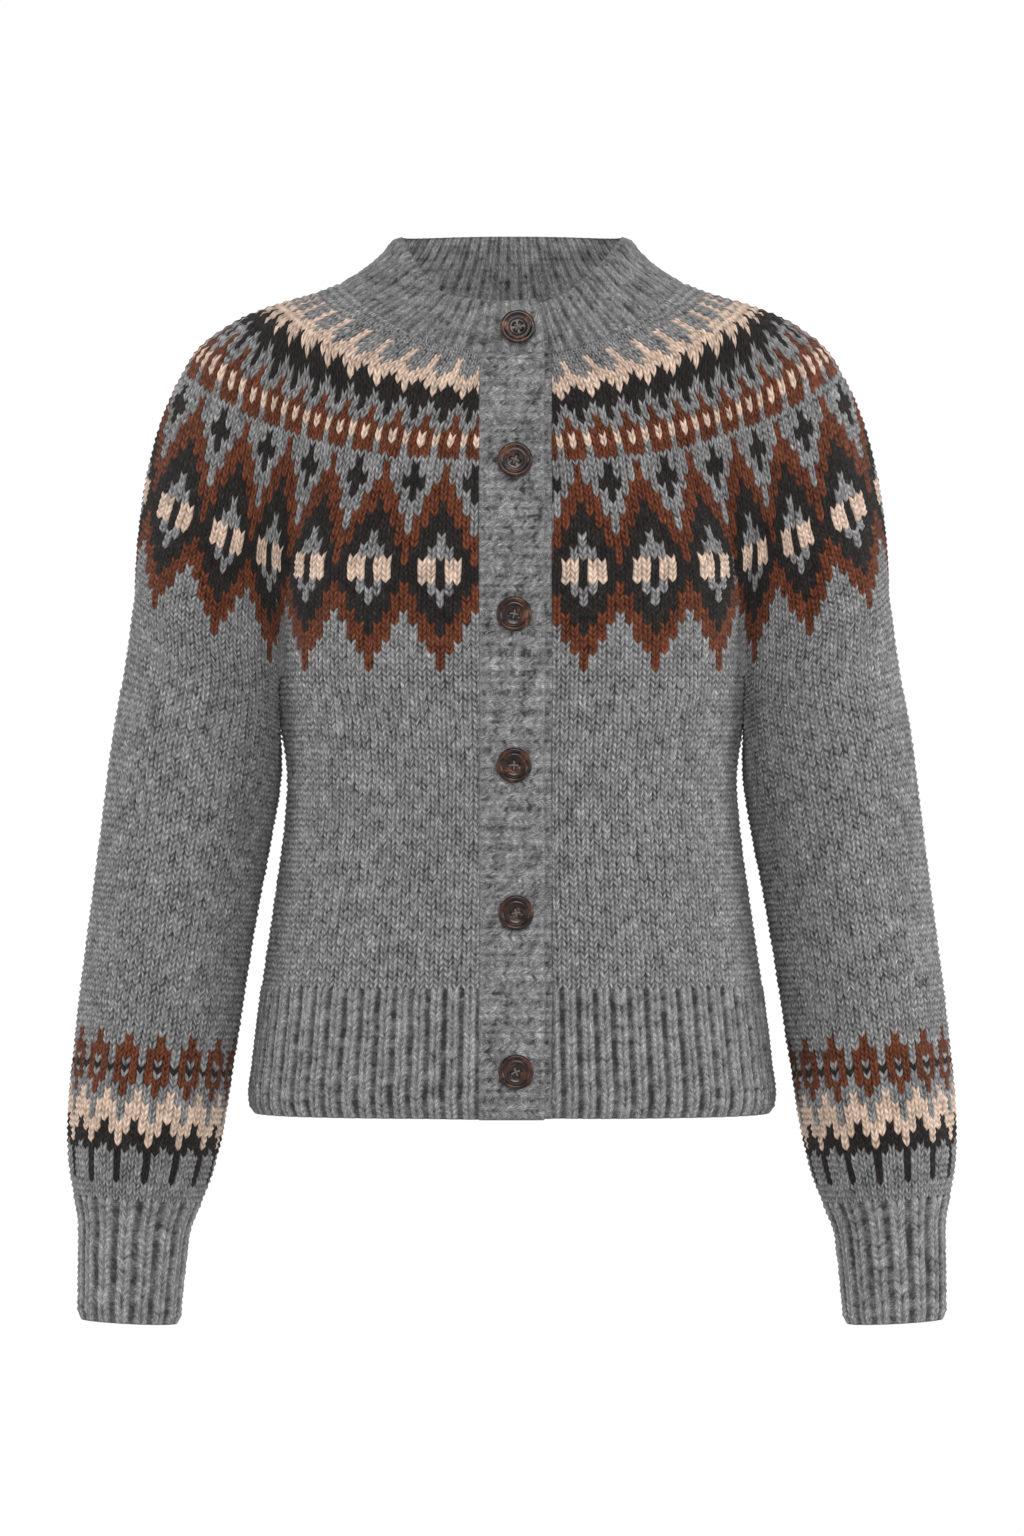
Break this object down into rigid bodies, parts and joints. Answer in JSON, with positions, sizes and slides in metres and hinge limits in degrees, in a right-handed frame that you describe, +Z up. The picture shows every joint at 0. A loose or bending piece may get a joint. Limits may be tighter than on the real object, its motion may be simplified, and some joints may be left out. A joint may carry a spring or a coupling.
{
  "type": "crewneck cardigan",
  "caption": "Hollow knitted cardigan as worn, with a round patterned yoke, ribbed neckband, cuffs and hem, and a buttoned front.",
  "frame": {"origin": "middle of the neck at the height of the neck seam on top of the shoulders, where the wearer's shoulders hold the garment up", "axes": "+Z up, -Y is the garment's front, +X is the wearer's left"},
  "size_m": [0.5624, 0.2242, 0.6944],
  "materials": {
    "grey_wool": "matte, slightly fuzzy grey melange wool",
    "patterned_wool": "the same wool with stranded black, brown and beige pattern",
    "brown_button": "polished mottled brown horn look"
  },
  "bodies": {
    "root": {"yoke_right_front": "patterned_wool", "yoke_left_front": "patterned_wool", "yoke_back": "patterned_wool", "yoke_right_arm": "patterned_wool", "yoke_left_arm": "patterned_wool", "back": "grey_wool", "right_front": "grey_wool", "left_front": "grey_wool", "hem_rib_back": "grey_wool", "hem_rib_right": "grey_wool", "hem_rib_left": "grey_wool", "right_sleeve": "patterned_wool", "left_sleeve": "patterned_wool", "right_cuff": "grey_wool", "left_cuff": "grey_wool", "neckband": "grey_wool", "buttonhole_band": "grey_wool", "button_band": "grey_wool", "button_1": "brown_button", "button_2": "brown_button", "button_3": "brown_button", "button_4": "brown_button", "button_5": "brown_button", "button_6": "brown_button"}
  },
  "joints": []
}
